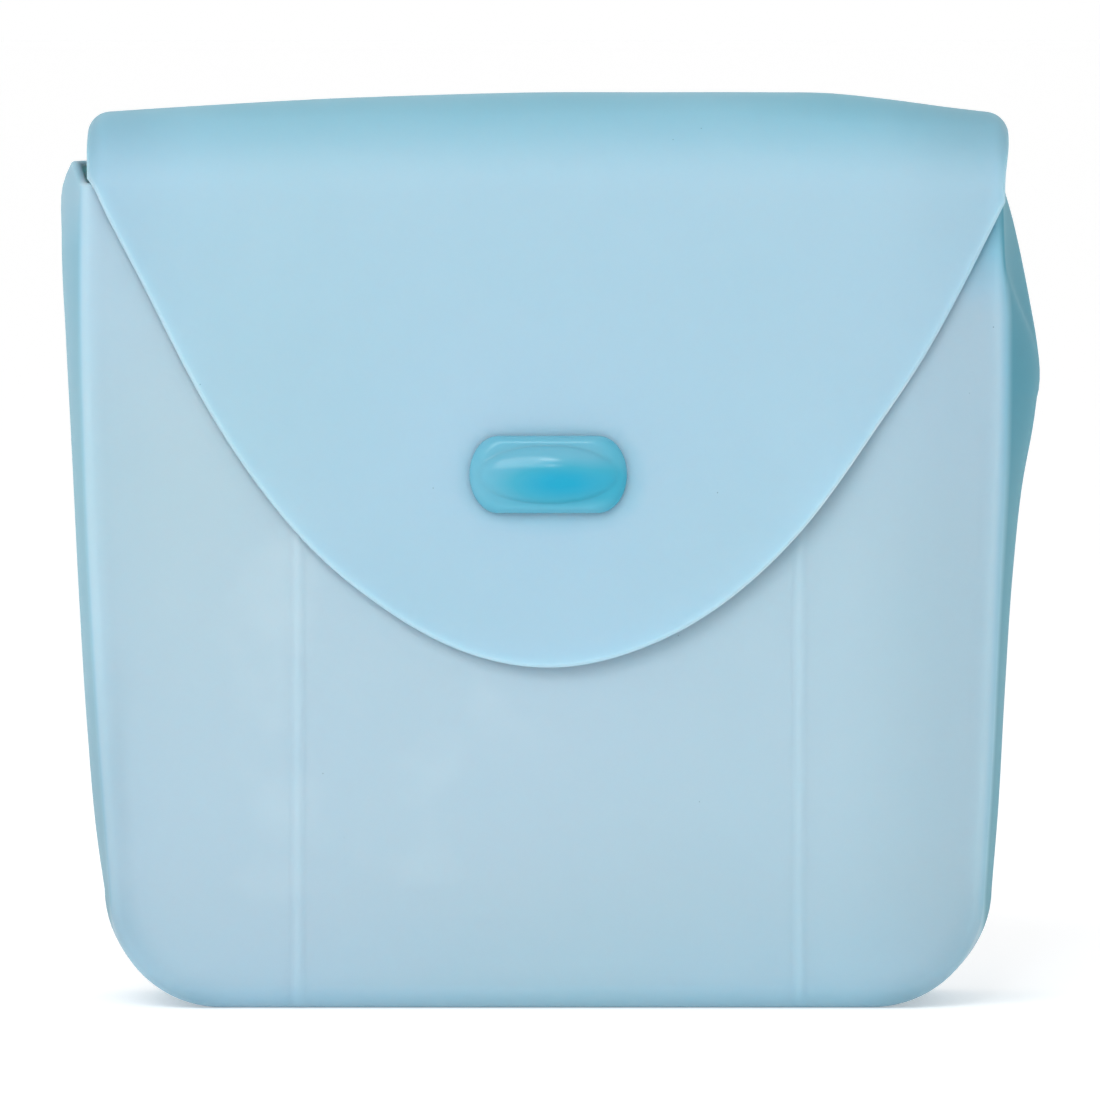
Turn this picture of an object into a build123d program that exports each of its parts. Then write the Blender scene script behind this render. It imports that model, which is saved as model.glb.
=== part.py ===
from build123d import *
import os
from math import atan2, cos, degrees, radians, sin

# A soft silicone treat pouch: an envelope with side gussets that open upwards, and a flap that
# grows out of the back panel, rolls over the mouth and buttons onto the front panel.
# Millimetres. +Z is up, the front faces -Y, and the origin is the centre of the base, on the floor.

# The envelope
mouth_height = 134.3      # floor to the front rim
base_depth = 40.0         # front to back at the floor
mouth_depth = 30.0        # front to back at the rim
base_half_width = 72.9    # centre to side at the top of the bottom corners
mouth_half_width = 75.7   # centre to side at the rim
corner_radius = 20.0      # bottom corners, seen from the front
edge_radius = 5.0         # rounding between the panels and the gussets
wall = 1.8
base_wall = 2.2

# The gussets' outward pleat
pleat_height = 104.0      # where the pleat stands out most
pleat_half_width = 80.7   # centre to crease there
pleat_rim_half_width = 79.2
pleat_flare = 6.0         # degrees outwards where it leaves the bottom corner

# The zones that the moulding bends in
band = 5.5                # from each panel's face back to the gussets, and in from its outline
band_gap = 0.3            # round the moving part of the front panel
tray_height = 20.0        # the stiff tray below the gussets

# The flap
flap_wall = 1.6
flap_gap = 0.7            # to the front panel
flap_side_angle = 60.0    # of its slanting sides, from level
tip_radius = 52.3
tip_height = 56.4
fold_span = 60.0          # degrees of the roll that each bending strip takes

# The ribs on the front panel
rib_offset = 41.2
rib_width = 2.2
rib_rise = 0.5
rib_bottom = 7.0
rib_top = 82.0

# The button and the slot it goes through
button_height = 87.9
head_length = 25.9
head_width = 12.7
head_end = 4.8            # how far each elliptical end reaches
head_rise = 4.6
head_gap = 0.4            # to the flap
neck_length = 16.0
neck_width = 6.0
slot_clearance = 0.5
collar_margin = 3.2       # stretching zone round the head
anchor_margin = 4.0
anchor_thickness = 1.6
anchor_fit = 0.15

# Worked out from the above
lean = degrees(atan2((base_depth - mouth_depth) / 2, mouth_height))
flap_outside = flap_gap + flap_wall
flap_front = -mouth_depth / 2 - flap_outside / cos(radians(lean))
roll_radius = (mouth_depth / 2 - flap_front) / 2
roll_centre = (mouth_depth / 2 + flap_front) / 2
front_frame = Pos(0, -base_depth / 2, 0) * Rot(X=-lean)   # y runs into the pouch
back_frame = Pos(0, base_depth / 2, 0) * Rot(X=lean)      # y runs out of the pouch

# Each profile of the sides: flare in degrees, half width at the pleat's height and at the rim
straight_middle = base_half_width * 0.25 + mouth_half_width * 0.75
straight = (1.4, straight_middle, mouth_half_width)
pleated = (pleat_flare, pleat_half_width, pleat_rim_half_width)

# Cutting blocks reach past everything
over_height = mouth_height + 8
reach = 120.0
wide = (-reach, reach)
tall = (-reach, 2 * reach)


def slab(sketch, near, far):
    """Stand a flat sketch up in XZ and thicken it from y = near to y = far."""
    return Pos(0, far, 0) * Rot(X=90) * extrude(sketch, far - near)


def block(x, y, z):
    """A box from its three (low, high) pairs."""
    low = (x[0], y[0], z[0])
    size = [pair[1] - pair[0] for pair in (x, y, z)]
    return Pos(*low) * Box(*size, align=Align.MIN)


below_rim = block(wide, wide, (0, mouth_height))


def outline(profile, inset):
    """The pouch seen from the front, drawn in by inset all round."""
    flare, bulge, rim = profile
    radius = corner_radius - inset
    centre = base_half_width - corner_radius
    turn = radians(flare)
    slope = (rim - bulge) / (mouth_height - pleat_height)
    top = rim - inset + slope * (over_height - mouth_height)
    side = Spline(
        (centre + radius * cos(turn), corner_radius - radius * sin(turn)),
        (bulge - inset, pleat_height),
        (top, over_height),
        tangents=[(sin(turn), cos(turn)), (slope, 1)],
    )
    corner = CenterArc((centre, corner_radius), radius, -90, 90 - flare)
    half = side + corner
    lines = half + mirror(half, about=Plane.YZ)
    lines += Line((-centre, inset), (centre, inset))
    lines += Line((-top, over_height), (top, over_height))
    return make_face(lines)


def envelope(inset, floor, rounding):
    """The pouch as a solid: lofted gussets between leaning front and back planes."""
    sections = []
    for y, profile in ((-base_depth / 2, straight), (0, pleated), (base_depth / 2, straight)):
        sections.append(Pos(0, y, 0) * Rot(X=90) * outline(profile, inset))
    body = loft(sections, ruled=True)
    body &= front_frame * block(wide, (inset, reach), tall)
    body &= back_frame * block(wide, (-reach, -inset), tall)
    body &= block(wide, wide, (floor, over_height))
    edges = []
    for face in (body.faces().sort_by(Axis.Y)[0], body.faces().sort_by(Axis.Y)[-1]):
        edges += face.edges().sort_by(Axis.Z)[:-1]
    return fillet(edges, rounding)


def shell():
    """The whole envelope, open at the top."""
    hollow = envelope(0, 0, edge_radius) - envelope(wall, base_wall, edge_radius - wall)
    return hollow & below_rim


def panel_core(extra):
    """The flat middle of a panel, as a block in the panel's own frame."""
    return slab(outline(straight, band + extra), -reach, reach)


def envelope_zones():
    """The envelope's panels, edge bands, tray and gussets."""
    whole = shell()
    front_zone = front_frame * block(wide, (-reach, band), tall)
    back_zone = back_frame * block(wide, (-band, reach), tall)
    front = whole & front_zone
    back = whole & back_zone
    middle = whole - front_zone - back_zone
    zones = {}
    zones["front_panel"] = (front & front_frame * panel_core(band_gap)) - panel_hole()
    zones["front_edge_band"] = front - front_frame * panel_core(0)
    zones["back_panel"] = back & back_frame * panel_core(0)
    zones["back_edge_band"] = back - back_frame * panel_core(0)
    zones["base_tray"] = middle & block(wide, wide, (0, tray_height))
    above = (tray_height, mouth_height)
    for side, x in (("left", (-reach, 0)), ("right", (0, reach))):
        for end, y in (("front", (-reach, 0)), ("rear", (0, reach))):
            zones[f"{side}_gusset_{end}"] = middle & block(x, y, above)
    return zones


def rib(x):
    """One raised line down the front panel."""
    length = rib_top - rib_bottom
    place = Pos(x, (rib_top + rib_bottom) / 2)
    bar = slab(place * Rectangle(rib_width, length), -rib_rise, 0)
    crest = bar.faces().sort_by(Axis.Y)[0]
    return front_frame * fillet(crest.edges(), rib_rise * 0.8)


def roll_strip(start, end):
    """The part of the roll over the mouth between two angles, from the back at 0."""
    section = Rectangle(2 * mouth_half_width, flap_wall)
    turned = Rot(X=start) * Pos(0, roll_radius - flap_wall / 2, 0)
    section = Pos(0, roll_centre, mouth_height) * turned * section
    axis = Axis((0, roll_centre, mouth_height), (1, 0, 0))
    return revolve(section, axis, end - start)


def button_outline(margin):
    """The head's outline, grown by margin, at its place on the panel: straight with elliptical ends."""
    straight_length = head_length - 2 * head_end
    half_width = head_width / 2 + margin
    outline_shape = Rectangle(straight_length, 2 * half_width)
    for x in (-straight_length / 2, straight_length / 2):
        outline_shape += Pos(x, 0) * Ellipse(head_end + margin, half_width)
    return Pos(0, button_height) * outline_shape


def neck_outline(margin):
    """The neck's outline, grown by margin, at its place on the panel."""
    return Pos(0, button_height) * SlotOverall(neck_length + 2 * margin, neck_width + 2 * margin)


def flap_outline():
    """The flap's rounded triangle."""
    angle = radians(flap_side_angle)
    centre = tip_height + tip_radius
    tangent = (tip_radius * sin(angle), centre - tip_radius * cos(angle))
    top = over_height
    shoulder = tangent[0] + (mouth_height - tangent[1]) / (sin(angle) / cos(angle))
    half = Polyline((0, top), (shoulder, top), (shoulder, mouth_height), tangent)
    tip = ThreePointArc(tangent, (0, tip_height), (-tangent[0], tangent[1]))
    return make_face(half + tip + mirror(half, about=Plane.YZ))


def flap_panel():
    """The hanging part of the flap, with the opening that the slot collar fills."""
    sheet = slab(flap_outline() - button_outline(collar_margin), -flap_outside, -flap_gap)
    return front_frame * sheet & below_rim


def slot_collar():
    """The stretching zone of the flap round the slot."""
    ring = button_outline(collar_margin) - neck_outline(slot_clearance)
    return front_frame * slab(ring, -flap_outside, -flap_gap)


def panel_hole():
    """The hole in the front panel for the button's neck."""
    return front_frame * slab(neck_outline(anchor_fit), -wall, 2 * wall)


def button_neck():
    """The neck from the inner flange out to the head."""
    return front_frame * slab(neck_outline(0), -flap_outside - head_gap, wall)


def button_anchor():
    """The flange inside the front panel that keeps the neck from pulling out."""
    flange = slab(neck_outline(anchor_margin), wall, wall + anchor_thickness)
    back_edges = flange.faces().sort_by(Axis.Y)[-1].edges()
    return front_frame * fillet(back_edges, 0.8)


def button_head():
    """The domed head in front of the flap."""
    back = -flap_outside - head_gap
    head = slab(button_outline(0), back - head_rise, back)
    head = fillet(head.faces().sort_by(Axis.Y)[0].edges(), head_rise * 0.5)
    head = fillet(head.faces().sort_by(Axis.Y)[-1].edges(), 0.6)
    return front_frame * head


nodes = envelope_zones()
nodes["left_rib"] = rib(-rib_offset)
nodes["right_rib"] = rib(rib_offset)
nodes["back_fold"] = roll_strip(0, fold_span)
nodes["flap_bridge"] = roll_strip(fold_span, 180 - fold_span)
nodes["front_fold"] = roll_strip(180 - fold_span, 180)
nodes["flap_panel"] = flap_panel()
nodes["slot_collar"] = slot_collar()
nodes["button_anchor"] = button_anchor()
nodes["button_neck"] = button_neck()
nodes["button_head"] = button_head()

os.makedirs("parts", exist_ok=True)
for name, shape in nodes.items():
    export_step(shape, f"parts/{name}.step")
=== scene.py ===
"""A soft silicone treat pouch: a gusseted envelope, a flap that rolls over its mouth, and a button."""

import math

import bmesh
import bpy
import numpy as np
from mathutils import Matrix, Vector


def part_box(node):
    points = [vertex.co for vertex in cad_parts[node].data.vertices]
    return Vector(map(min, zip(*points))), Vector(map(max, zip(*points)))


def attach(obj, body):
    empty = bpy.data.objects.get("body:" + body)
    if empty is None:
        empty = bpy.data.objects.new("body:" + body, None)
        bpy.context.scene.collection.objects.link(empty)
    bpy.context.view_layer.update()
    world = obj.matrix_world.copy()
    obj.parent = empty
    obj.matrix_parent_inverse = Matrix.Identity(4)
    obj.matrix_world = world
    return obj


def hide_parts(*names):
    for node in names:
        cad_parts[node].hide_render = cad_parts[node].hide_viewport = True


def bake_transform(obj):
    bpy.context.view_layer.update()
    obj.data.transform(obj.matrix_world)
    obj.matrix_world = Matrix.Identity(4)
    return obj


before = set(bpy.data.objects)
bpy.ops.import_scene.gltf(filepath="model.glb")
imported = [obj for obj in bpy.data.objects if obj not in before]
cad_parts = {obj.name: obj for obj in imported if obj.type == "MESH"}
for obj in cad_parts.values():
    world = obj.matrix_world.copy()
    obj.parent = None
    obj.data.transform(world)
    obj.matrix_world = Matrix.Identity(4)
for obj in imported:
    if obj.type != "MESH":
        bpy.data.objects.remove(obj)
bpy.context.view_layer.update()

# ---------------------------------------------------------------- sizes, in millimetres
MM = 0.001


def corners(node):
    """The lowest and highest corner of a CAD node, in millimetres."""
    low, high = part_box(node)
    return np.array(low) / MM, np.array(high) / MM


RIM = corners("front_panel")[1][2]
BASE_HALF_DEPTH = corners("back_edge_band")[1][1]
MOUTH_HALF_DEPTH = corners("back_fold")[1][1]
ROLL_HALF_WIDTH = corners("flap_bridge")[1][0]
ROLL_TOP = corners("flap_bridge")[1][2]
FLAP_TIP = corners("flap_panel")[0][2]
BUTTON_LOW, BUTTON_HIGH = corners("button_head")
BUTTON_HEIGHT = (BUTTON_LOW[2] + BUTTON_HIGH[2]) / 2
RIBS = [sum(corners(node))[0] / 2 for node in ("left_rib", "right_rib")]

WALL = 1.8
FLAP_WALL = 1.6
FLAP_GAP = 0.7
HEAD_GAP = 0.4

ROLL_RADIUS = ROLL_TOP - RIM
ROLL_CENTRE = MOUTH_HALF_DEPTH - ROLL_RADIUS
ROLL_MID = ROLL_RADIUS - FLAP_WALL / 2
HINGE_SPAN = math.radians(60)
LEAN = math.atan((BASE_HALF_DEPTH - MOUTH_HALF_DEPTH) / RIM)

LIP = 0.65                       # how far from a free edge its rounding starts
LIP_STEPS = np.array([0, 0.02, 0.07, 0.16, 0.29, 0.46])    # the rows of points across that rounding
THINNEST = 0.03                  # of the wall's thickness, at the very edge
WELD_CELLS = 500                 # to the millimetre: points that fall in one cell are joined
WELD_SHIFT = 0.137               # keeps round coordinates off the borders between cells


# ---------------------------------------------------------------- shape helpers
def ease(x, start=0.0, end=1.0):
    """0 before start, 1 after end, smooth between."""
    t = np.clip((x - start) / (end - start), 0, 1)
    return t * t * (3 - 2 * t)


def through(x, *stations):
    """A smooth curve through a few (x, value) stations."""
    xs, values = np.array(stations, float).T
    slopes = np.gradient(values, xs)
    x = np.clip(x, xs[0], xs[-1])
    i = np.clip(np.searchsorted(xs, x) - 1, 0, len(xs) - 2)
    step = xs[i + 1] - xs[i]
    t = (x - xs[i]) / step
    value = (2 * t**3 - 3 * t**2 + 1) * values[i] + (3 * t**2 - 2 * t**3) * values[i + 1]
    bend = (t**3 - 2 * t**2 + t) * slopes[i] + (t**3 - t**2) * slopes[i + 1]
    return value + step * bend


def stack(x, y, z):
    """Points from three arrays."""
    return np.stack(np.broadcast_arrays(x, y, z), axis=-1).astype(float)


def unit(vectors):
    """The vectors at length 1."""
    return vectors / np.maximum(np.linalg.norm(vectors, axis=-1, keepdims=True), 1e-12)


def patch(top, bottom, left, right):
    """A grid of points that fills the four edges given, each an array of points."""
    v = np.linspace(0, 1, len(left))[:, None, None]
    u = np.linspace(0, 1, len(top))[None, :, None]
    rows = (1 - v) * top[None] + v * bottom[None]
    columns = (1 - u) * left[:, None] + u * right[:, None]
    flat = (1 - v) * ((1 - u) * top[0] + u * top[-1]) + v * ((1 - u) * bottom[0] + u * bottom[-1])
    return rows + columns - flat


def quads_of(index):
    """The quads of a grid of point numbers."""
    around = [index[:-1, :-1], index[1:, :-1], index[1:, 1:], index[:-1, 1:]]
    return np.stack(around, axis=-1).reshape(-1, 4)


def merged(blocks):
    """Points and quads of several grids of points, joined where they meet."""
    points, quads, start = [], [], 0
    for block in blocks:
        rows, columns = block.shape[:2]
        quads.append(quads_of(start + np.arange(rows * columns).reshape(rows, columns)))
        points.append(block.reshape(-1, 3))
        start += rows * columns
    points, quads = np.concatenate(points), np.concatenate(quads)
    keys = np.round(points * WELD_CELLS + WELD_SHIFT).astype(np.int64)
    _, first, inverse = np.unique(keys, axis=0, return_index=True, return_inverse=True)
    return points[first], inverse.reshape(-1)[quads]


def oriented(points, quads):
    """The quads, turned so that neighbours agree on which side is out."""
    mesh = bpy.data.meshes.new("scratch")
    mesh.from_pydata(points.tolist(), [], quads.tolist())
    work = bmesh.new()
    work.from_mesh(mesh)
    bmesh.ops.recalc_face_normals(work, faces=work.faces)
    turned = np.array([[v.index for v in face.verts] for face in work.faces])
    work.free()
    bpy.data.meshes.remove(mesh)
    return turned


def normals_of(points, quads):
    """A normal for each point."""
    first, second, third, fourth = points[quads].transpose(1, 0, 2)
    across = np.cross(third - first, fourth - second)
    normals = np.zeros_like(points)
    for corner in range(4):
        np.add.at(normals, quads[:, corner], across)
    return unit(normals)


def edge_distance(points, edges):
    """Each point's distance to the nearest of the edges."""
    nearest = np.full(len(points), np.inf)
    for a, b in edges:
        along = points[b] - points[a]
        share = np.clip((points - points[a]) @ along / (along @ along), 0, 1)
        gap = points - points[a] - share[:, None] * along
        nearest = np.minimum(nearest, np.sqrt((gap**2).sum(1)))
    return nearest


def thickened(points, quads, wall, joined):
    """A closed mesh: the surface given a wall, which rounds off at the free edges that are not joined.

    Also gives each point's side: from 1 on the face that the quads' normals leave to -1 on the other,
    and near 0 at a rounded edge.
    """
    normals = normals_of(points, quads)
    directed = np.concatenate([quads[:, [k, (k + 1) % 4]] for k in range(4)])
    known = {(int(a), int(b)) for a, b in directed}
    free = np.array([edge for edge in directed if (int(edge[1]), int(edge[0])) not in known])
    middles = (points[free[:, 0]] + points[free[:, 1]]) / 2
    inset = np.minimum(edge_distance(points, free[~joined(middles)]) / LIP, 1)
    fullness = np.maximum(np.sqrt(1 - (1 - inset) ** 2), THINNEST)
    offset = wall / 2 * fullness[:, None] * normals
    count = len(points)
    rim = np.stack([free[:, 1], free[:, 0], count + free[:, 0], count + free[:, 1]], axis=-1)
    faces = np.concatenate([quads, count + quads[:, ::-1], rim])
    side = np.concatenate([fullness, -fullness])
    return np.concatenate([points + offset, points - offset]), faces, side


def make_piece(name, points, faces, tint, painted_shade):
    """A smooth-shaded object from points in millimetres, with a tint, which also carries painted shade and
    painted light, and a painted shade for each point.
    """
    mesh = bpy.data.meshes.new(name)
    mesh.from_pydata((points * MM).tolist(), [], [list(face) for face in faces])
    mesh.polygons.foreach_set("use_smooth", np.ones(len(mesh.polygons), bool))
    for attribute, values in (("tint", tint), ("painted_shade", painted_shade)):
        layer = mesh.attributes.new(attribute, "FLOAT", "POINT")
        layer.data.foreach_set("value", np.clip(values, 0, 1).astype(np.float32))
    work = bmesh.new()
    work.from_mesh(mesh)
    bmesh.ops.recalc_face_normals(work, faces=work.faces)
    work.to_mesh(mesh)
    work.free()
    piece = bpy.data.objects.new(name, mesh)
    bpy.context.scene.collection.objects.link(piece)
    return piece


# ---------------------------------------------------------------- the envelope
LEFT, RIGHT = -1, 1
SIDE_ROWS = 82
ARC_STEPS = 20
PANEL_RADIUS = 18.5                           # bottom corners
STRAIGHT_ENDS = {LEFT: -53.4, RIGHT: 52.9}    # of the straight bottom between them

BOTTOM_ROUNDING = 4.2         # from the panels into the base
SIDE_SHARPER = 2.4            # how much smaller the rounding into the gussets is
GUSSET_STRAIGHT = 0.35        # share of the pleat's reach that grows evenly with depth
GUSSET_TUCK = 0.18            # share of it that the right gusset's fold takes back
CROWN_RISE = 0.3              # how far the front panel swells, in its middle
CROWN_HALF_WIDTH = 72
CROWN_MIDDLE, CROWN_HALF_HEIGHT = 68, 66
RIB_RISE, RIB_SPREAD = 0.24, 0.75
BEAD_RISE, BEAD_INSET, BEAD_SPREAD = 0.2, 1.7, 0.9


def front_half_width(z, side):
    """Centre to the front panel's corner line at height z."""
    if side == LEFT:
        return through(z, (PANEL_RADIUS, 71.9), (50, 74.2), (84, 76.0), (116, 76.8), (134, 76.6))
    return through(z, (PANEL_RADIUS, 71.4), (43, 72.8), (67, 73.8), (92, 74.7), (134, 74.8))


def foot_half_width(side):
    """Centre to a panel's corner line at the top of its bottom corner."""
    return abs(STRAIGHT_ENDS[side]) + PANEL_RADIUS


def back_half_width(z, side):
    """Centre to the back panel's corner line at height z."""
    up = np.clip((z - PANEL_RADIUS) / (RIM - PANEL_RADIUS), 0, 1)
    return foot_half_width(side) + (ROLL_HALF_WIDTH - foot_half_width(side)) * up


def crease(z, side):
    """How far out the gusset's pleat reaches at height z."""
    if side == LEFT:
        low = ((PANEL_RADIUS, 73.6), (26, 74.7), (46, 76.5), (66, 77.7))
        waist = ((91, 78.9), (111, 79.9))
        high = ((124, 80.5), (131, 80.2), (135, 78.3))
    else:
        low = ((PANEL_RADIUS, 73.6), (31, 74.6), (51, 75.7), (71, 77.0), (86, 78.6))
        waist = ((96, 80.4), (104, 81.4))
        high = ((109, 80.9), (116, 79.6), (126, 76.9), (131, 75.2), (135, 74.5))
    middle = (waist[0][0] + waist[1][0]) / 2
    return np.where(z < middle, through(z, *low, *waist), through(z, *waist, *high))


def bottom_columns():
    """The x of each column of the panels' middle, closer together at the ribs."""
    near = np.array([-2.4, -1.6, -1.1, -0.7, -0.35, 0, 0.35, 0.7, 1.1, 1.6, 2.4])
    clear = 3.0
    spread = np.linspace(STRAIGHT_ENDS[LEFT], STRAIGHT_ENDS[RIGHT], 61)
    for rib in RIBS:
        spread = spread[np.abs(spread - rib) > clear]
    return np.sort(np.concatenate([spread, RIBS[0] + near, RIBS[1] + near]))


def rows_down(bottom, count):
    """Heights from the rim down to the bottom, closer together at the rim's rounding."""
    return np.concatenate([RIM - LIP_STEPS, np.linspace(RIM - LIP, bottom, count - len(LIP_STEPS))])


def outline_stations():
    """Height or turn of each station: down the left side, along the bottom and up the right side."""
    heights = [("side", z) for z in rows_down(PANEL_RADIUS, SIDE_ROWS)]
    turns = [("arc", turn) for turn in np.linspace(0, math.pi / 2, ARC_STEPS + 1)[1:]]
    left = [(kind, LEFT, value) for kind, value in heights + turns]
    right = [(kind, RIGHT, value) for kind, value in heights + turns]
    return left + [("bottom", 0, x) for x in bottom_columns()[1:-1]] + right[::-1]


def dent(share, z):
    """1 where the right gusset is folded in below its rim, at a share of the way to its crease."""
    fold_line = 122 - 15.5 * share
    return ease(z - fold_line, -1, 3.5)


def half_section(station, half_width):
    """The middle of the wall from a panel's edge to the crease at one station, laid out for the front."""
    kind, side, value = station
    if kind == "side":
        x, z, out_x, out_z = side * half_width(value, side), value, side, 0.0
        reach = crease(value, side) - abs(x)
    elif kind == "arc":
        out_x, out_z = side * math.cos(value), -math.sin(value)
        x, z = STRAIGHT_ENDS[side] + PANEL_RADIUS * out_x, PANEL_RADIUS * (1 + out_z)
        reach = (crease(PANEL_RADIUS, side) - foot_half_width(side)) * out_x**2
    else:
        x, z, out_x, out_z, reach = value, 0.0, 0.0, -1.0, 0.0
    edge = BOTTOM_ROUNDING - SIDE_SHARPER * abs(out_x)
    core_x, core_z = x - edge * out_x, z - edge * out_z
    depth = -front_plane(core_z)
    radius = edge - WALL / 2
    turns = np.linspace(0, math.pi / 2, 9)
    beyond = np.linspace(edge, depth, 15)[1:]
    back = np.concatenate([edge - radius * np.cos(turns), beyond])
    out = np.concatenate([radius * np.sin(turns), np.full(len(beyond), radius)])
    share = back / depth
    swell = GUSSET_STRAIGHT * share + (1 - GUSSET_STRAIGHT) * np.sin(share * math.pi / 2)
    if side == RIGHT and kind == "side":
        swell = swell - GUSSET_TUCK * dent(share, z) * np.sin(math.pi * np.clip(share, 0, 1))
    out = out + reach * swell
    return stack(core_x + out * out_x, back - depth, core_z + out * out_z)


def section(station):
    """The middle of the envelope's wall, from the front panel's edge to the back's, at one station."""
    front = half_section(station, front_half_width)
    back = half_section(station, back_half_width)[-2::-1] * (1, -1, 1)
    return np.concatenate([front, back])


def panel(edge):
    """A panel inside its edge: a middle block and one block beyond each end of the straight bottom."""
    last_row = SIDE_ROWS - 1 + ARC_STEPS // 2
    first_column = SIDE_ROWS - 1 + ARC_STEPS
    bottom = edge[first_column : len(edge) - first_column]
    heights = rows_down(bottom[0][2], last_row + 1)
    side = np.sign(edge[0][1])
    y = -side * (front_plane(heights) + WALL / 2)
    middle = stack(bottom[None, :, 0], y[:, None], heights[:, None])
    blocks = [middle]
    for rim, column in ((edge, middle[:, 0]), (edge[::-1], middle[:, -1])):
        outer = rim[: last_row + 1]
        arc = rim[first_column : last_row - 1 : -1]
        top = np.linspace(column[0], outer[0], len(arc))
        blocks.append(patch(top, arc, column, outer))
    return blocks


def front_plane(z):
    """The front panel's outer face at height z."""
    return -BASE_HALF_DEPTH + z * math.tan(LEAN)


def crown(x, z):
    """How far the front panel swells outwards."""
    across = np.clip(1 - (x / CROWN_HALF_WIDTH) ** 2, 0, 1)
    up = np.clip(1 - ((z - CROWN_MIDDLE) / CROWN_HALF_HEIGHT) ** 2, 0, 1)
    return CROWN_RISE * across * up


def rib_rise(x):
    """The two raised lines down the front."""
    return sum(RIB_RISE * np.exp(-(((x - rib) / RIB_SPREAD) ** 2)) for rib in RIBS)


def bead_rise(x, z):
    """The faint bead that runs along the front panel's sides."""
    inside = -past_panel(x, z)
    return BEAD_RISE * np.exp(-(((inside - BEAD_INSET) / BEAD_SPREAD) ** 2)) * ease(z, 14, 34)


def envelope():
    """The pouch's body: panels, gussets and base in one skin."""
    band = np.array([section(station) for station in outline_stations()])
    points, quads = merged([band, *panel(band[:, 0]), *panel(band[:, -1])])
    quads = oriented(points, quads)
    normals = normals_of(points, quads)
    x, y, z = points.T
    if normals[np.argmin(y)][1] > 0:
        normals, quads = -normals, quads[:, ::-1]
    facing = -normals[:, 1]
    rise = rib_rise(x) * ease(facing, 0.15, 0.9) * (z < RIM - 2)
    rise += (crown(x, z) + bead_rise(x, z)) * ease(facing, 0.6, 1.0)
    points = points + rise[:, None] * normals
    gusset = ease(np.abs(x), 70, 74)
    lift = (1.4 + 3.2 * ease(y, -14, -1)) * (1 - ease(y, 11.0, 13.6))
    points[:, 2] += lift * gusset * ease(z, 112, RIM)
    return points, quads


def past_panel(x, z):
    """How far beyond the front panel's corner line a point lies."""
    return np.abs(x) - np.where(x < 0, front_half_width(z, LEFT), front_half_width(z, RIGHT))


def shell_tint_and_shade(points, side):
    """The silicone's colour depth, with painted shade and painted light: deep where the layers double up,
    painted shade where the walls turn away and low down, palest inside as painted light.
    """
    x, y, z = points.T
    past = past_panel(x, z)
    # the gussets run deeper: partly the doubled layers, partly painted shade where they turn away from the
    # light
    left = (0.5 - 0.2 * ease(z, 124, 134)) * ease(past, -0.5, 0.6) * (x < 0)
    right = (0.4 * ease(past, -1.0, 0.6) + 0.5 * ease(past / (1.3 + 0.9 * ease(z, 50, 95)))) * (x > 0)
    # painted shade in the right gusset's fold
    folded = 0.4 * dent(np.clip(1 + y / 16, 0, 1), z) * ease(past, -0.3, 0.5) * (x > 0) * (y < 1)
    # painted shade towards the bottom and round the bottom corners
    low = 0.09 * (1 - ease(z, 0, 22)) + 0.2 * (1 - ease(z, 0, 5)) + 0.06 * foot_corner(x, z)
    # an even base, with painted shade towards the right and at the left edge
    across = 0.09 + 0.05 * ease(x, -50, 70) + 0.04 * ease(-x, 60, 74)
    rear = (0.05 + 0.12 * ease(z, RIM - 30, RIM)) * ease(y, 2, 12)
    # painted shade on the front panel under the flap's right corner
    shaded = 0.6 * ease(z, 113, 130) * ease(x, 62, 70) * ease(-y, 6, 10)
    # the inside faces keep the palest colour: painted light for the light let in through the walls
    return (across + left + right + folded + low + rear + shaded) * ease(side, -1, 0)


def foot_corner(x, z):
    """1 round the outside of the two bottom corners."""
    from_centre = np.hypot(np.maximum(np.abs(x) - 53, 0), np.maximum(PANEL_RADIUS - z, 0))
    return ease(from_centre, 12.5, 18.5) * ease(np.abs(x), 50, 60) * (1 - ease(z, 10, 24))


def shell_painted_shade(points):
    """Painted shade, with no change of hue: darker at the right side and the left edge, towards the bottom
    and its corners, and on the left gusset.
    """
    x, y, z = points.T
    sides = 0.1 * ease(x, 46, 70) + 0.02 * ease(-x, 56, 72)
    foot = 0.13 * ease(-x, 67, 73) * (1 - ease(z, 28, 70)) + 0.05 * (1 - ease(z, 0, 40))
    gusset = 0.13 * ease(past_panel(x, z), -0.4, 0.6) * (x < 0)
    return sides + foot + 0.12 * (1 - ease(z, 0, 7)) + gusset + 0.11 * foot_corner(x, z)


# ---------------------------------------------------------------- the roll and the flap
ROLL_LENGTH = ROLL_MID * (math.pi - HINGE_SPAN)    # from its rear hinge's top to the front rim
FLAP_ROWS = 96

END_ROUNDING = 3.2       # how far in from the roll's ends they start to round off
END_TURN = 0.9           # how nearly upright the outline gets at the very end, 1 being upright
END_DEPTH = 4.2
END_DRAWN_IN = 0.2       # share of the drop that the ends also come in by, on top of the roll
FRONT_DRAWN_IN = 0.7     # how far the right side comes in below the roll


def end_drop(x):
    """How far the roll's ends round off downwards."""
    corner = END_TURN * np.clip(1 - (ROLL_HALF_WIDTH - np.abs(x)) / END_ROUNDING, 0, 1)
    return END_DEPTH * (1 - np.sqrt(1 - corner**2))


def droop(x):
    """How much lower the roll lies towards its ends, which round off at the last."""
    left = ((-ROLL_HALF_WIDTH, 3.6), (-66, 2.9), (-52, 2.0), (-38, 1.2), (-20, 0.5))
    right = ((36, 0), (46, 0.15), (56, 1.2), (66, 2.6), (ROLL_HALF_WIDTH, 3.8))
    return through(x, *left, (0, 0), (15, 0), *right) + end_drop(x)


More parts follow.
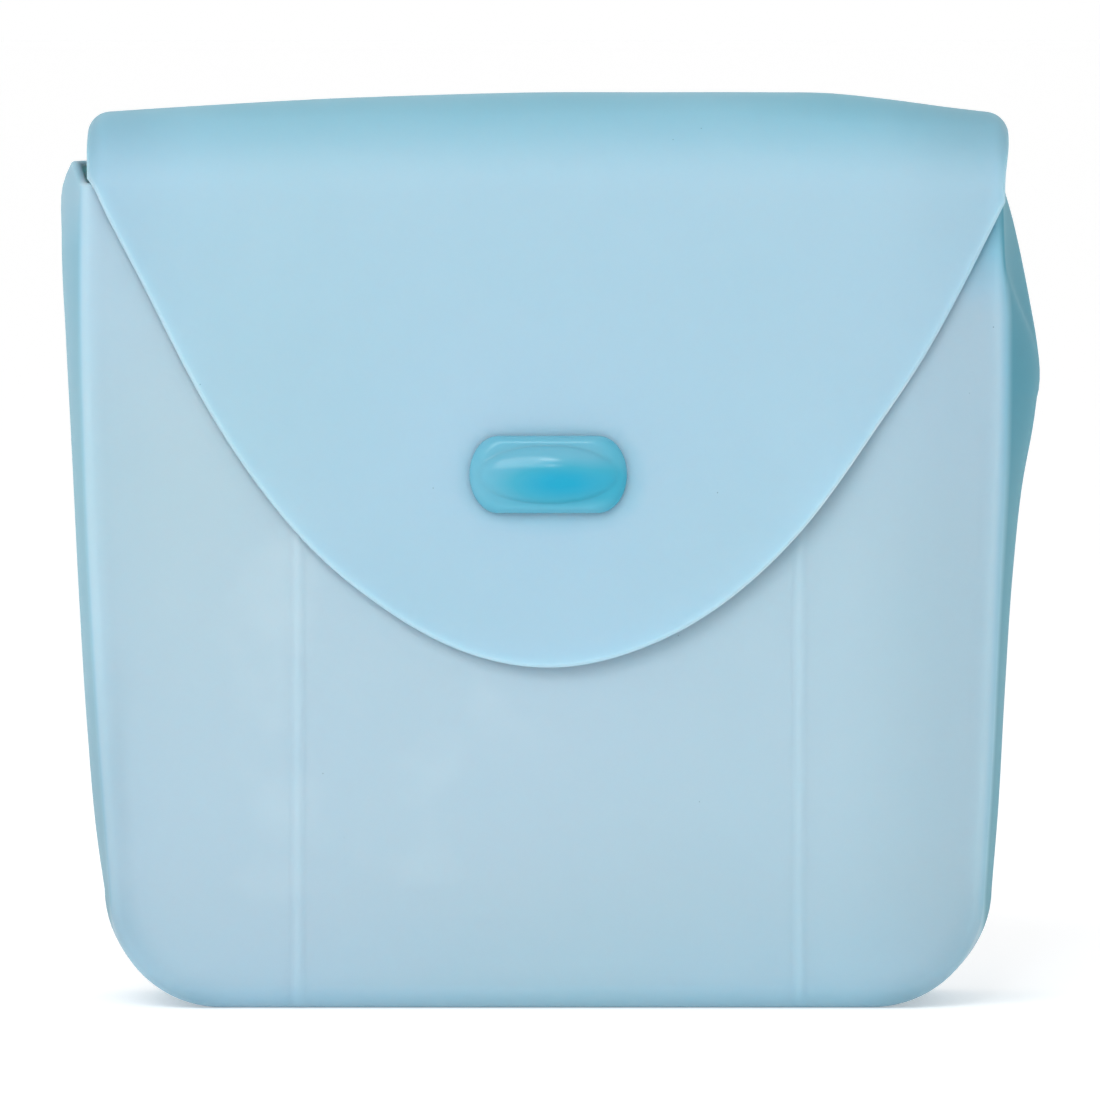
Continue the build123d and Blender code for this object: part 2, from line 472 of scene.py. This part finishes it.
def roll_point(x, turn):
    """The middle of the roll's wall at an angle from the back."""
    squash = 1 - droop(x) / ROLL_RADIUS
    drawn_in = END_DRAWN_IN * end_drop(x) * np.sin(turn) ** 2 * np.sign(x)
    y = ROLL_CENTRE + ROLL_MID * np.cos(turn)
    z = RIM + ROLL_MID * np.sin(turn) * squash
    return stack(x - drawn_in, y, z)


def flap_lift(x, z):
    """How far the flap stands off beyond its usual gap."""
    away = ease(np.hypot(x / 1.4, z - BUTTON_HEIGHT), 12, 42)
    right = ease(x, -30, 20) * (1 - ease(x, 44, 64))
    snug = 0.35 * ease(np.abs(x), 45, 55) * (1 - ease(z, 124, RIM))
    return (2.4 * right - 0.3) * away * (1 - ease(z, 84, 112)) - snug


def flap_point(x, s):
    """The middle of the flap's wall at column x, a length s along it from the top of the rear hinge."""
    turn = HINGE_SPAN + np.clip(s, 0, ROLL_LENGTH) / ROLL_MID
    down = np.maximum(s - ROLL_LENGTH, 0)
    points = roll_point(x, turn)
    points[..., 2] -= down * math.cos(LEAN)
    z = points[..., 2]
    points[..., 1] -= np.where(down > 0, down * math.sin(LEAN) + crown(x, z) + flap_lift(x, z), 0)
    points[..., 0] -= FRONT_DRAWN_IN * ease(x, 55, ROLL_HALF_WIDTH) * (1 - ease(z, RIM, RIM + 10))
    return points


def length_at(z):
    """The length along the flap to height z on its front."""
    on_roll = ROLL_MID * (math.pi - np.arcsin(np.clip((z - RIM) / ROLL_MID, 0, 1)) - HINGE_SPAN)
    return np.where(z > RIM, on_roll, ROLL_LENGTH + (RIM - z) / math.cos(LEAN))


def hem(x):
    """The height of the flap's lower edge at column x."""
    left_side = ((-76, 138.4), (-73.3, 132.2), (-67.6, 121.1), (-54.9, 97.0))
    left_round = ((-41, 78.0), (-27.6, 66.4), (-13, 58.6))
    right_round = ((15, 59.4), (28.1, 66.4), (41.4, 78.6))
    right_side = ((54.9, 97.0), (62.7, 108.5), (71, 123.3), (76, 133.2))
    return through(x, *left_side, *left_round, (1.2, FLAP_TIP), *right_round, *right_side)


def slot_edge(x, z):
    """The nearest point of the flap's slot to (x, z)."""
    half_straight, radius = 5.0, 3.5
    middle = np.clip(x, -half_straight, half_straight)
    reach = np.hypot(x - middle, z)
    return middle + radius * (x - middle) / reach, radius * z / reach


def roll_columns():
    """The x of each column of the roll and flap, closer together at the ends' rounding."""
    near = np.append((END_ROUNDING, 2.6, 2.1, 1.65, 1.3, 1.0, 0.75), LIP_STEPS[::-1])
    inner = np.linspace(-ROLL_HALF_WIDTH + 4, ROLL_HALF_WIDTH - 4, 115)
    return np.concatenate([near[::-1] - ROLL_HALF_WIDTH, inner, ROLL_HALF_WIDTH - near])


def hem_stretch(x):
    """How much longer a step down the flap is than the same step square to its hem."""
    return np.hypot(1, hem(x + 0.5) - hem(x - 0.5))


def flap():
    """The roll's top and front and the hanging flap, with its slot."""
    columns = roll_columns()
    lengths, stretch = length_at(hem(columns)), hem_stretch(columns)
    even = np.linspace(0, 1, FLAP_ROWS)[:, None] * (lengths - LIP * stretch)
    grid_s = np.concatenate([even, lengths - LIP_STEPS[::-1, None] * stretch])
    grid_x = np.broadcast_to(columns, grid_s.shape)

    # a block of the grid gives way to rings of points that close in on the slot
    centre = length_at(BUTTON_HEIGHT)
    block_half_length, block_half_width = 13.2, 8.0
    inside = (np.abs(grid_x) < block_half_length) & (np.abs(grid_s - centre) < block_half_width)
    i, j = np.nonzero(inside)
    top, bottom, left, right = i.min(), i.max(), j.min(), j.max()
    around = [(top, k) for k in range(left, right)] + [(k, right) for k in range(top, bottom)]
    around += [(bottom, k) for k in range(right, left, -1)] + [(k, left) for k in range(bottom, top, -1)]
    around = np.array(around + around[:1])
    x, s = grid_x[tuple(around.T)], grid_s[tuple(around.T)]
    slot_x, slot_z = slot_edge(x, s - centre)
    steps = np.array([0, 0.3, 0.58, 0.77, 0.86, 0.92, 0.96, 0.985, 1.0])[:, None]
    ring = flap_point(x + steps * (slot_x - x), s + steps * (slot_z + centre - s))

    whole = flap_point(grid_x, grid_s)
    blocks = [
        whole[: top + 1],
        whole[bottom:],
        whole[top : bottom + 1, : left + 1],
        whole[top : bottom + 1, right:],
        ring,
    ]
    points, quads = merged(blocks)
    return points, oriented(points, quads)


def rear_hinge():
    """The strip of the roll that bends behind the mouth."""
    turns = np.linspace(0, HINGE_SPAN, 14)[:, None]
    points, quads = merged([roll_point(roll_columns()[None], turns)])
    return points, oriented(points, quads)


def flap_tint_shade_and_highlight(points):
    """How deep the flap's colour looks: a deeper base, painted shade on top of the roll and round the
    button, and a painted highlight that makes it pale at its hem.
    """
    x, y, z = points.T
    to_edge = (z - hem(x)) / hem_stretch(x)
    # painted highlight along the hem's cut edge, wider towards the right
    pale = (0.12 + 0.1 * ease(x, 0, 45)) * (1 - ease(to_edge, 0.0, 0.7)) * (y < 0)
    # painted shade on top of the roll, more towards the right
    top = ease(z, RIM, ROLL_TOP + 1) * (0.42 + 0.08 * ease(x, 25, 60))
    # painted shade in a rounded box round the button
    squareness = 2.6
    across, up = np.abs(x - 0.5) / 14.8, np.abs(z - BUTTON_HEIGHT + 0.5) / 8.4
    button_shade = 1 - ease(across**squareness + up**squareness, 0.7, 1.3)
    return 0.26 + top - pale + 0.2 * button_shade * (y < 0)


def flap_painted_shade(points):
    """Painted shade: darker towards the roll's ends, more so on top of the roll and at the right."""
    x, y, z = points.T
    top = ease(z, RIM - 2, ROLL_TOP - 4)
    end = 0.12 * ease(np.abs(x), ROLL_HALF_WIDTH - 2.5, ROLL_HALF_WIDTH - 0.5)
    return (0.06 + 0.05 * top) * ease(-x, 56, 74) + (0.07 + 0.08 * top) * ease(x, 50, 74) + end


# ---------------------------------------------------------------- the button
def on_panel(x, out, up):
    """A point given by its distance out from the front panel's face and up along it."""
    y = -BASE_HALF_DEPTH - out * math.cos(LEAN) + up * math.sin(LEAN)
    return stack(x, y, up * math.cos(LEAN) + out * math.sin(LEAN))


def button():
    """The head: a rounded rim with a narrower dome standing on it."""
    half_length, _, half_width = (BUTTON_HIGH - BUTTON_LOW) / 2
    end_length = 4.8
    straight = half_length - end_length
    turns = np.linspace(-math.pi / 2, math.pi / 2, 33)
    across = np.linspace(straight, -straight, 19)[1:-1]
    half_x = np.concatenate([straight + end_length * np.cos(turns), across])
    half_z = np.concatenate([half_width * np.sin(turns), np.full(len(across), half_width)])
    edge_x, edge_z = np.concatenate([half_x, -half_x]), np.concatenate([half_z, -half_z])

    under = FLAP_GAP + FLAP_WALL + HEAD_GAP
    rim_height, rim_start, rim_share = 2.2, 0.8, 0.2    # where it starts on the way out, and its share
    dome_height, dome_half_length, dome_half_width, dome_power = 2.1, 11.3, 4.7, 0.62
    back_rounding, first_share = 0.3, 0.04
    over_rim = rim_start + rim_share * np.sin(np.linspace(0.12, math.pi / 2, 12))
    rings = []
    for share in [*np.linspace(first_share, rim_start, 39), *over_rim]:
        x, z = edge_x * share, edge_z * share
        shoulder = rim_height * math.sqrt(1 - (max(share - rim_start, 0) / rim_share) ** 2)
        inner = np.clip(1 - (x / dome_half_length) ** 2 - (z / dome_half_width) ** 2, 0, 1)
        out = under + back_rounding + shoulder + dome_height * inner**dome_power
        rings.append(on_panel(x, out, BUTTON_HEIGHT + z))
    for share, out in ((0.985, 0.1), (0.95, 0.0), (0.5, 0.0), (first_share, 0.0)):
        rings.append(on_panel(edge_x * share, under + out, BUTTON_HEIGHT + edge_z * share))
    loops = np.array(rings)
    count, around = loops.shape[:2]
    index = np.arange(count * around).reshape(count, around)
    closed = np.concatenate([index, index[:, :1]], axis=1)
    faces = [list(face) for face in quads_of(closed)]
    front, back = count * around, count * around + 1
    for k in range(around):
        faces.append([closed[0, k], closed[0, k + 1], front])
        faces.append([closed[-1, k + 1], closed[-1, k], back])
    return np.concatenate([loops.reshape(-1, 3), [loops[0].mean(0), loops[-1].mean(0)]]), faces


# ---------------------------------------------------------------- materials
GRAIN_DEPTH = 0.00005      # metres
ROUGHNESS_DRIFT = 0.08     # either way
SPECK_REACH = 0.016        # of each dust speck, in cells of its pattern


def shader(name, stops, roughness, gloss, scatter, radius):
    """Silicone: soft scattering, with a colour for each stop of the tint, darkened by dust specks and by
    the pieces' painted shade, and a faint grain.
    """
    material = bpy.data.materials.new(name)
    material.use_nodes = True
    nodes, links = material.node_tree.nodes, material.node_tree.links

    def fill(node, inputs):
        """Link or set a node's inputs."""
        for key, value in inputs.items():
            if isinstance(value, bpy.types.NodeSocket):
                links.new(value, node.inputs[key])
            else:
                node.inputs[key].default_value = value

    def add(kind, inputs, operation=None):
        """A node with its inputs filled."""
        node = nodes.new(kind)
        if operation:
            node.operation = operation
        fill(node, inputs)
        return node

    def attribute(label):
        """One of the values that each point of the piece carries."""
        node = nodes.new("ShaderNodeAttribute")
        node.attribute_name = label
        return node.outputs["Fac"]

    def noise(scale, detail):
        """A cloudy pattern."""
        inputs = {"Vector": place, "Scale": scale, "Detail": detail}
        return add("ShaderNodeTexNoise", inputs).outputs["Fac"]

    def arithmetic(operation, *values):
        """A sum on single values."""
        return add("ShaderNodeMath", dict(enumerate(values)), operation).outputs[0]

    place = nodes.new("ShaderNodeTexCoord").outputs["Object"]
    cloud = noise(28, 3)
    ramp = add("ShaderNodeValToRGB", {"Fac": arithmetic("MULTIPLY_ADD", cloud, 0.1, attribute("tint"))})
    for position, color in stops[1:-1]:
        ramp.color_ramp.elements.new(position)
    for element, (position, color) in zip(ramp.color_ramp.elements, stops):
        element.position = position
        element.color = (*color, 1)

    hazy = nodes.new("ShaderNodeMix")
    hazy.data_type, hazy.blend_type = "RGBA", "MULTIPLY"
    fill(hazy, {"Factor": noise(15, 1), "A": ramp.outputs["Color"], "B": (1.0, 0.985, 0.9, 1)})

    # dust specks, and the painted shade that each point carries, darken the colour
    dust = add("ShaderNodeTexVoronoi", {"Vector": place, "Scale": 140}).outputs["Distance"]
    speck = arithmetic("LESS_THAN", dust, SPECK_REACH)
    keep = arithmetic("SUBTRACT", 1, arithmetic("MULTIPLY_ADD", speck, 0.4, attribute("painted_shade")))
    dimmed = add("ShaderNodeVectorMath", {0: hazy.outputs["Result"], "Scale": keep}, "SCALE")

    bump = add("ShaderNodeBump", {"Strength": 0.12, "Distance": GRAIN_DEPTH, "Height": noise(2600, 2)})
    low, high = roughness - ROUGHNESS_DRIFT, roughness + ROUGHNESS_DRIFT
    smudge = add("ShaderNodeMapRange", {"Value": cloud, "To Min": low, "To Max": high})
    fill(nodes["Principled BSDF"], {
        "Base Color": dimmed.outputs["Vector"],
        "Normal": bump.outputs["Normal"],
        "Roughness": smudge.outputs["Result"],
        "IOR": 1.41,
        "Specular IOR Level": gloss,
        "Subsurface Weight": scatter,
        "Subsurface Radius": (0.7, 1.0, 1.0),
        "Subsurface Scale": radius,
    })
    return material


def paint(piece, material):
    """Give a piece one material."""
    piece.data.materials.clear()
    piece.data.materials.append(material)


# the colours along the tint, from the palest to the deepest; the palest is painted light for the pouch's
# inside and the flap's hem, and the deepest stops carry doubled layers and painted shade
SILICONE = (
    (0.0, (0.80, 0.90, 0.94)),
    (0.14, (0.388, 0.527, 0.635)),
    (0.31, (0.345, 0.525, 0.662)),
    (0.65, (0.24, 0.475, 0.62)),
    (1.0, (0.07, 0.28, 0.38)),
)
BUTTON_SILICONE = (
    (0.0, (0.14, 0.40, 0.53)),
    (0.5, (0.04, 0.345, 0.485)),
    (1.0, (0.0, 0.32, 0.50)),
)
silicone = shader(
    "pouch_silicone", SILICONE, roughness=0.5, gloss=0.25, scatter=1.0, radius=0.004
)
button_silicone = shader(
    "button_silicone", BUTTON_SILICONE, roughness=0.17, gloss=0.35, scatter=0.6, radius=0.002
)


# ---------------------------------------------------------------- the pieces
def on_roll(points, margin):
    """Whether each point lies between the roll's ends, drawn in by a margin."""
    return np.abs(points[:, 0]) < ROLL_HALF_WIDTH - margin


def shell_joined(points):
    """Where the rear hinge carries on from the shell's rim."""
    back_rim = 13.5    # behind this, the rim is the back panel's
    return (points[:, 1] > back_rim) & on_roll(points, 0.1)


def strip_joined(points):
    """Where the strip's front and rear edges join its neighbours."""
    return on_roll(points, 0.01)


def flap_joined(points):
    """Where the flap carries on from the rear hinge."""
    return (points[:, 1] > 0) & on_roll(points, 0.01)


points, faces, side = thickened(*envelope(), WALL, shell_joined)
pouch_shell = make_piece("pouch_shell", points, faces, shell_tint_and_shade(points, side), shell_painted_shade(points))
paint(pouch_shell, silicone)
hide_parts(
    "back_panel", "back_edge_band", "base_tray", "front_edge_band", "front_panel", "left_rib", "right_rib",
    "left_gusset_rear", "left_gusset_front", "right_gusset_rear", "right_gusset_front",
)
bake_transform(pouch_shell)

points, faces, _ = thickened(*rear_hinge(), FLAP_WALL, strip_joined)
hinge_strip = make_piece("rear_hinge_strip", points, faces, flap_tint_shade_and_highlight(points), flap_painted_shade(points))
paint(hinge_strip, silicone)
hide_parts("back_fold")
# the roll's middle at the back of the rim, where the strip's bend starts
bend_start = roll_point(0.0, 0.0)
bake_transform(hinge_strip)

points, faces, _ = thickened(*flap(), FLAP_WALL, flap_joined)
flap_sheet = make_piece("flap_sheet", points, faces, flap_tint_shade_and_highlight(points), flap_painted_shade(points))
paint(flap_sheet, silicone)
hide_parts("flap_bridge", "front_fold", "flap_panel", "slot_collar")
# the roll's middle at the front of the rim, where the roll meets the hanging flap
bend_end = roll_point(0.0, math.pi)
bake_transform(flap_sheet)

points, faces = button()
x, y, z = points.T
# the head is deepest in its core, where the neck lies behind it; its right end and lower edge run deeper
# as painted shade
core_distance = np.hypot((x - 2.2) / 13, (z - BUTTON_HEIGHT + 1.2) / 4.4)
tint = 1 - ease(core_distance, 0.0, 1.15) + 0.25 * ease(x, 6, 12) + 0.12 * ease(BUTTON_HEIGHT - z, 2, 5)
head = make_piece("button_dome", points, faces, tint, np.zeros(len(points)))
paint(head, button_silicone)
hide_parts("button_head")
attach(head, "button")

for node in ("button_neck", "button_anchor"):
    paint(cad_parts[node], button_silicone)


# ---------------------------------------------------------------- floor, light and camera
def stage_floor():
    """A wide pale floor."""
    bpy.ops.mesh.primitive_plane_add(size=30)
    floor = bpy.context.object
    floor.name = "floor"
    material = bpy.data.materials.new("floor")
    material.use_nodes = True
    principled = material.node_tree.nodes["Principled BSDF"]
    principled.inputs["Base Color"].default_value = (0.93, 0.93, 0.93, 1)
    principled.inputs["Roughness"].default_value = 0.9
    principled.inputs["Emission Color"].default_value = (1, 1, 1, 1)
    principled.inputs["Emission Strength"].default_value = 0.29
    paint(floor, material)


def soft_light(name, place, aim, size, watts):
    """A square soft light."""
    data = bpy.data.lights.new(name, "AREA")
    data.size, data.energy = size, watts
    lamp = bpy.data.objects.new(name, data)
    lamp.location = place
    lamp.rotation_euler = (Vector(aim) - Vector(place)).to_track_quat("-Z", "Y").to_euler()
    bpy.context.scene.collection.objects.link(lamp)


def photo_camera():
    """A long lens a few degrees above level, framed on the pouch."""
    frame_width, distance, elevation = 0.1807, 2.0, math.radians(3)
    data = bpy.data.cameras.new("camera")
    data.sensor_width = 36
    data.lens = data.sensor_width * distance / frame_width
    camera = bpy.data.objects.new("camera", data)
    aim = Vector((0.0003, -0.017, 0.0755))
    back = Vector((0, -math.cos(elevation), math.sin(elevation)))
    camera.location = aim + back * distance
    camera.rotation_euler = (-back).to_track_quat("-Z", "Y").to_euler()
    data.clip_end = 100
    bpy.context.scene.collection.objects.link(camera)
    bpy.context.scene.camera = camera


def studio_air():
    """Even white light, weaker from straight above."""
    world = bpy.data.worlds.new("studio")
    bpy.context.scene.world = world
    world.use_nodes = True
    nodes, links = world.node_tree.nodes, world.node_tree.links
    place = nodes.new("ShaderNodeTexCoord")
    axes = nodes.new("ShaderNodeSeparateXYZ")
    links.new(place.outputs["Generated"], axes.inputs["Vector"])
    fade = nodes.new("ShaderNodeValToRGB")
    fade.color_ramp.interpolation = "EASE"
    stops = ((0.2, 1.0), (0.9, 0.62))
    for element, (position, grey) in zip(fade.color_ramp.elements, stops):
        element.position = position
        element.color = (grey, grey, grey, 1)
    links.new(axes.outputs["Z"], fade.inputs["Fac"])
    links.new(fade.outputs["Color"], nodes["Background"].inputs["Color"])
    nodes["Background"].inputs["Strength"].default_value = 1.0


stage_floor()
soft_light("key", place=(-0.3, -0.9, 0.72), aim=(0, 0, 0.07), size=0.6, watts=4.6)
soft_light("upper_glint", place=(0.01, -0.8, 0.70), aim=(0, 0, 0.088), size=0.1, watts=0.55)
soft_light("lower_glint", place=(0.03, -0.95, 0.47), aim=(0, 0, 0.088), size=0.06, watts=0.25)
studio_air()
photo_camera()
bpy.context.scene.view_settings.view_transform = "Standard"
